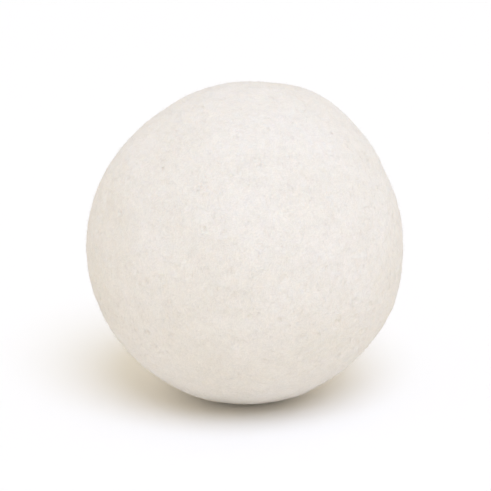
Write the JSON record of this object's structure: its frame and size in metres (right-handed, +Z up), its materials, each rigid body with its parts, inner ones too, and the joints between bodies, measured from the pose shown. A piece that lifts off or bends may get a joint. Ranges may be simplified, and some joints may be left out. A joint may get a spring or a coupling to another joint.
{
  "type": "dryer ball",
  "caption": "Felted wool ball that tumbles with the laundry in a dryer, built up from a rolled core, crossed bands of carded wool and a felted skin.",
  "frame": {"origin": "centre of the small flat that the ball rests on, under the ball's centre", "axes": "+Z up from the rest flat through the ball's centre and along its longest way, +Y along its narrowest"},
  "size_m": [0.07, 0.0698, 0.0713],
  "materials": {
    "core_wool": "matte",
    "batt_wool": "matte",
    "felt_wool": "matte"
  },
  "bodies": {
    "root": {"rolled_core": "core_wool", "inner_wrap_1": "batt_wool", "inner_wrap_2": "batt_wool", "inner_wrap_3": "batt_wool", "middle_wrap_1": "batt_wool", "middle_wrap_2": "batt_wool", "middle_wrap_3": "batt_wool", "outer_wrap_1": "batt_wool", "outer_wrap_2": "batt_wool", "outer_wrap_3": "batt_wool", "felt_skin": "felt_wool"}
  },
  "joints": []
}
